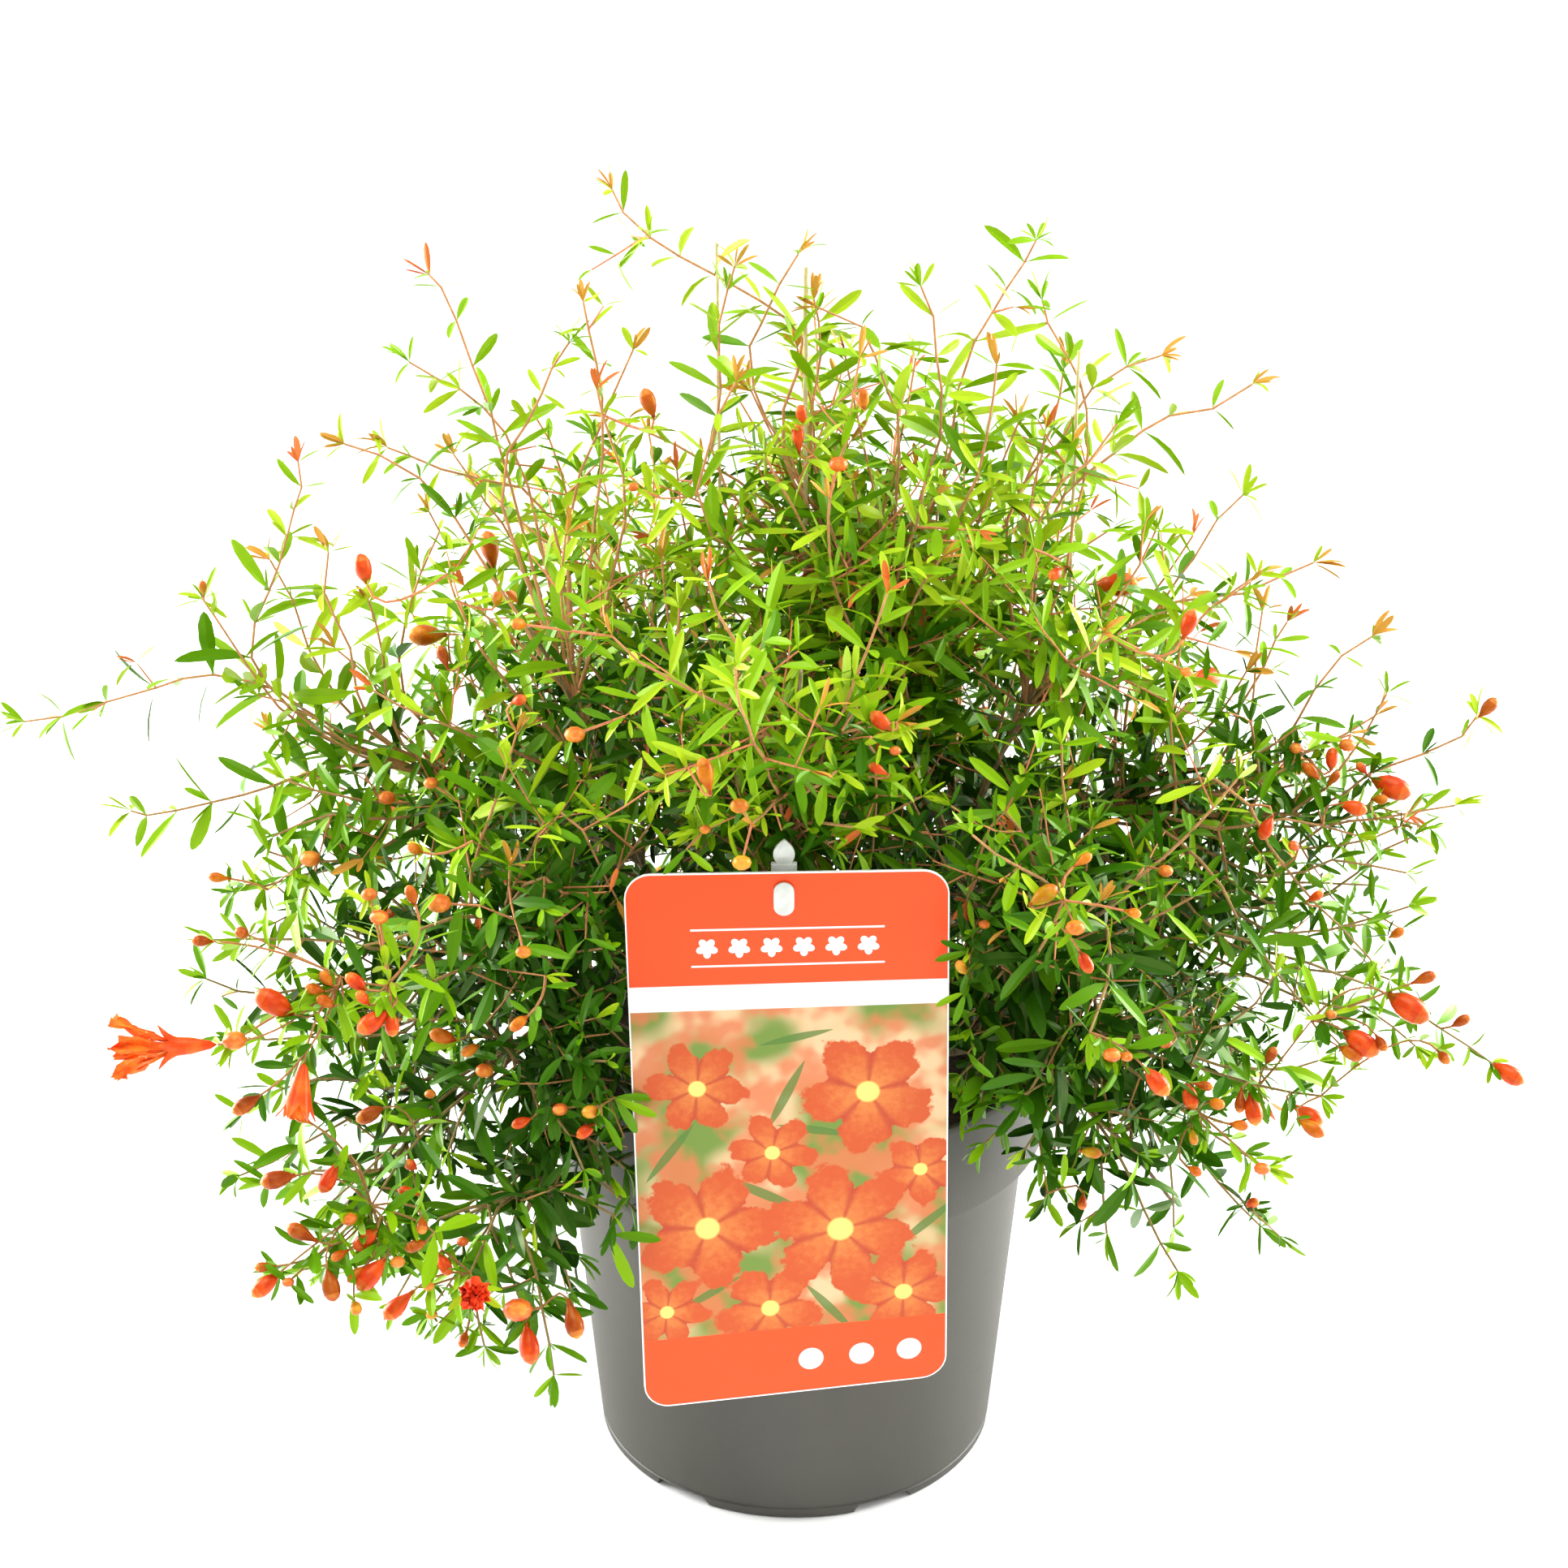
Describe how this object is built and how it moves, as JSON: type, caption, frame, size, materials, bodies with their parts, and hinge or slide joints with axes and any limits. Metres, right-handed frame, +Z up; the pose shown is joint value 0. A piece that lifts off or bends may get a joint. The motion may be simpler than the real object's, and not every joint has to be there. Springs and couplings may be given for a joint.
{
  "type": "potted dwarf pomegranate shrub",
  "caption": "Dwarf pomegranate shrub with fine leaves, red buds and flowers, in a round grey nursery pot with a hanging plant label.",
  "frame": {"origin": "centre of the pot's flat underside", "axes": "+Z up, -Y towards the front, where the label hangs, +X to the right seen from the front"},
  "size_m": [0.5446, 0.3994, 0.4805],
  "materials": {
    "pot_plastic": "matt moulded grey plastic",
    "potting_soil": "dark crumbly peat mix",
    "card_print": "printed plastic card, satin",
    "clear_plastic": "milky white plastic",
    "bark": "thin tan bark with fine ridges",
    "foliage": "small glossy leaves"
  },
  "bodies": {
    "root": {"bough_high_1": "bark", "bough_high_2": "bark", "bough_high_3": "bark", "bough_leader": "bark", "bough_low_1": "bark", "bough_low_2": "bark", "bough_low_3": "bark", "bough_low_4": "bark", "foliage_core": "foliage", "foliage_lower_1": "foliage", "foliage_lower_2": "foliage", "foliage_lower_3": "foliage", "foliage_lower_4": "foliage", "foliage_lower_5": "foliage", "foliage_lower_6": "foliage", "foliage_lower_7": "foliage", "foliage_lower_front": "foliage", "foliage_middle_1": "foliage", "foliage_middle_2": "foliage", "foliage_middle_3": "foliage", "foliage_middle_4": "foliage", "foliage_middle_5": "foliage", "foliage_middle_6": "foliage", "foliage_middle_7": "foliage", "foliage_middle_front": "foliage", "foliage_shoot_back": "foliage", "foliage_shoot_back_left": "foliage", "foliage_shoot_back_right": "foliage", "foliage_shoot_far_left": "foliage", "foliage_shoot_far_right": "foliage", "foliage_shoot_flower_left": "foliage", "foliage_shoot_high_left": "foliage", "foliage_shoot_high_right": "foliage", "foliage_shoot_low_right": "foliage", "foliage_shoot_shoulder_left": "foliage", "foliage_shoot_shoulder_right": "foliage", "foliage_shoot_side_left": "foliage", "foliage_shoot_side_right": "foliage", "foliage_shoot_tip_right": "foliage", "foliage_shoot_top_left": "foliage", "foliage_shoot_top_right": "foliage", "foliage_skirt_back_left": "foliage", "foliage_skirt_back_right": "foliage", "foliage_skirt_front_left": "foliage", "foliage_skirt_front_right": "foliage", "foliage_skirt_left": "foliage", "foliage_skirt_left_front": "foliage", "foliage_skirt_right": "foliage", "foliage_top": "foliage", "foliage_upper_1": "foliage", "foliage_upper_2": "foliage", "foliage_upper_3": "foliage", "foliage_upper_4": "foliage", "foliage_upper_5": "foliage", "label_card": "card_print", "label_stake": "clear_plastic", "pot": "pot_plastic", "soil": "potting_soil", "trunk": "bark"}
  },
  "joints": []
}
